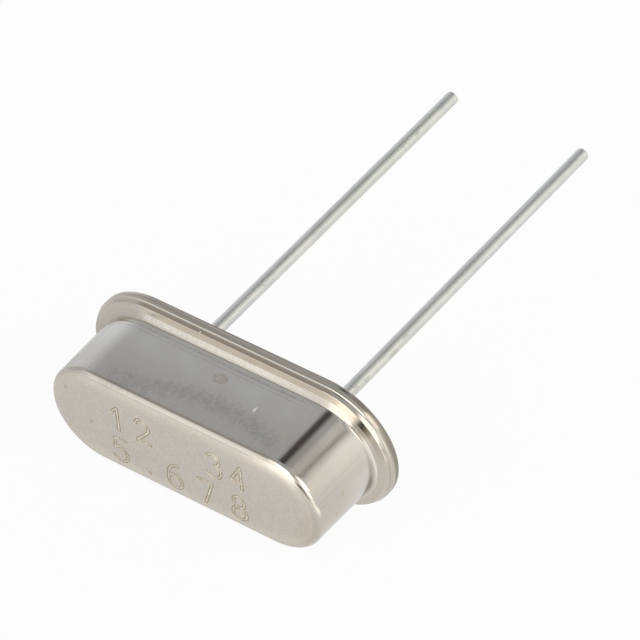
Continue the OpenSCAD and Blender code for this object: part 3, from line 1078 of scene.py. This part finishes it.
# Places on the floor in millimetres, as metal mirrors it: centre, half size, softness and light
FLOOR_SPOTS = [
    ((4.7, -9.0, 0), (1.1, 1.1, 1), 0.5, (0.86, 0.85, 0.82, 1)),    # shade in front of the right end
    ((12.0, -10.3, 0), (4.0, 4.0, 1), 0.4, (2.1, 2.05, 1.95, 1)),   # pool lit by the right softbox
    ((-8.8, -4.3, 0), (2.2, 2.2, 1), 0.5, (0.66, 0.66, 0.65, 1)),   # shade beside the left end
]
WEDGE_LIGHT = (2.7, 2.65, 2.56, 1)


def wedge_share(n, x, beyond):
    """The bright wedge of floor that widens towards the front softbox."""
    off = n.math("ABSOLUTE", n.math("ADD", n.math("SUBTRACT", x, 1.8), n.product(beyond, 0.06)))
    off = n.math("SUBTRACT", off, n.math("MULTIPLY_ADD", beyond, 0.235, 0.3))
    return n.product(n.falling(off, 0.0, 1.5), n.mapped(beyond, -0.8, 0.8))


def gap_share(n, x, ahead, beyond):
    """The dark gap that runs out over the floor between the wedge and the right softbox's pool."""
    past_wedge = n.math("SUBTRACT", x, n.math("MULTIPLY_ADD", beyond, 0.16, 2.6))
    before_pool = n.math("SUBTRACT", n.math("MULTIPLY_ADD", ahead, 0.55, 2.6), x)
    across = n.product(n.mapped(past_wedge, 0.0, 1.2), n.mapped(before_pool, -1.0, 2.0))
    return n.product(across, n.mapped(ahead, 10.5, 14.5))


def open_floor(n, x, ahead):
    """Share and light of the open stretch of floor in front of the can."""
    from_left = n.math("MULTIPLY_ADD", ahead, 0.55, x)
    share = n.product(n.mapped(ahead, 9.5, 15.0), n.mapped(from_left, -2.0, 2.0))
    light = n.blend(n.mapped(ahead, 19.0, 28.0), (1.85, 1.84, 1.8, 1), (1.4, 1.4, 1.38, 1))
    return share, light


def mirrored_floor(n, mm):
    """Light of the floor as metal mirrors it, and how much of it is the dark gap."""
    x, y, _ = n.axes(mm)
    ahead = n.product(y, -1.0)
    beyond = n.math("SUBTRACT", ahead, 11.0)
    gap = gap_share(n, x, ahead, beyond)
    gap_light = n.blend(n.mapped(ahead, 12.0, 36.0), (0.60, 0.57, 0.52, 1), (0.04, 0.035, 0.03, 1))
    behind = n.product(n.mapped(y, 5.0, 20.0), n.mapped(x, 5.0, 15.0))
    light = n.blend(n.falling(x, -11.0, -7.0), (1.02, 1.03, 1.04, 1), (0.80, 0.83, 0.87, 1))
    open_share, open_light = open_floor(n, x, ahead)
    light = n.blend(open_share, light, open_light)
    light = n.blend(behind, light, (1.14, 1.14, 1.12, 1))
    for centre, size, soft, shine in FLOOR_SPOTS:
        light = n.blend(spot(n, mm, centre, size, soft), light, shine)
    light = n.blend(wedge_share(n, x, beyond), light, WEDGE_LIGHT)
    return n.blend(gap, light, gap_light), gap


def floor_material():
    """White to the camera, with the object's soft shadow. Metal mirrors a lit pattern on it instead."""
    material = bpy.data.materials.new("pale_floor")
    material.use_nodes = True
    n = Nodes(material.node_tree)
    n.tree.nodes.clear()
    mm = n.scaled(n.add("ShaderNodeTexCoord").outputs["Object"], 1 / MM)
    mirrored, gap = mirrored_floor(n, mm)
    path = n.add("ShaderNodeLightPath")
    camera = path.outputs["Is Camera Ray"]
    mirror = n.math("MAXIMUM", path.outputs["Is Glossy Ray"], path.outputs["Is Transmission Ray"])
    mirror = n.product(mirror, n.math("MULTIPLY_ADD", gap, 0.45, 0.55))
    share = n.math("MAXIMUM", n.product(camera, 0.94), mirror)
    diffuse = n.add("ShaderNodeBsdfDiffuse", {"Color": (0.8, 0.8, 0.79, 1)})
    glow = n.add("ShaderNodeEmission", {"Color": n.blend(camera, mirrored, (1, 1, 1, 1)), "Strength": 1.0})
    mixed = n.add("ShaderNodeMixShader", {0: share})
    n.put(mixed.inputs[1], diffuse.outputs[0])
    n.put(mixed.inputs[2], glow.outputs[0])
    n.add("ShaderNodeOutputMaterial", {"Surface": mixed.outputs[0]})
    return material


def build_floor():
    """Plain floor under the part."""
    half = 0.25
    mesh = bpy.data.meshes.new("floor")
    corners = [(-half, -half, 0), (half, -half, 0), (half, half, 0), (-half, half, 0)]
    mesh.from_pydata(corners, [], [(0, 1, 2, 3)])
    floor = bpy.data.objects.new("floor", mesh)
    bpy.context.scene.collection.objects.link(floor)
    mesh.materials.append(floor_material())


def build_camera():
    """The photograph's view: a long lens, from the front right and above."""
    data = bpy.data.cameras.new("camera")
    data.lens = 300.5
    data.sensor_width = 36
    data.clip_start = 0.01
    data.clip_end = 5
    camera = bpy.data.objects.new("camera", data)
    bpy.context.scene.collection.objects.link(camera)
    right = Vector((0.80257, 0.59487, 0.04485))
    upward = Vector((-0.37367, 0.44269, 0.81511))
    view = Matrix((right, upward, right.cross(upward))).transposed().to_4x4()
    view.translation = Vector((73.732, -107.997, 94.680)) * MM
    camera.matrix_world = view
    bpy.context.scene.camera = camera


# ------------------------ scene
build_camera()
build_world()
build_floor()
bpy.context.scene.view_settings.view_transform = "Standard"

build_can([nickel_wall(), nickel_flange(), nickel_face()])
build_base([nickel_base()])
glass = seal_glass()
wire = [tinned_wire(), bare_wire()]
for side, word in ((-1, "left"), (1, "right")):
    build_bead(side, "glass_bead_" + word, glass)
    build_lead(side, "lead_wire_" + word, wire)

INNER = {
    "spring_clip_left": clip_nickel, "spring_clip_right": clip_nickel, "quartz_strip": quartz,
    "electrode_front": silver_film, "electrode_back": silver_film,
    "adhesive_left": silver_epoxy, "adhesive_right": silver_epoxy,
}
made = {}
for node, make in INNER.items():
    made[make] = made.get(make) or make()
    frame["nodes"][node].data.materials.clear()
    frame["nodes"][node].data.materials.append(made[make])
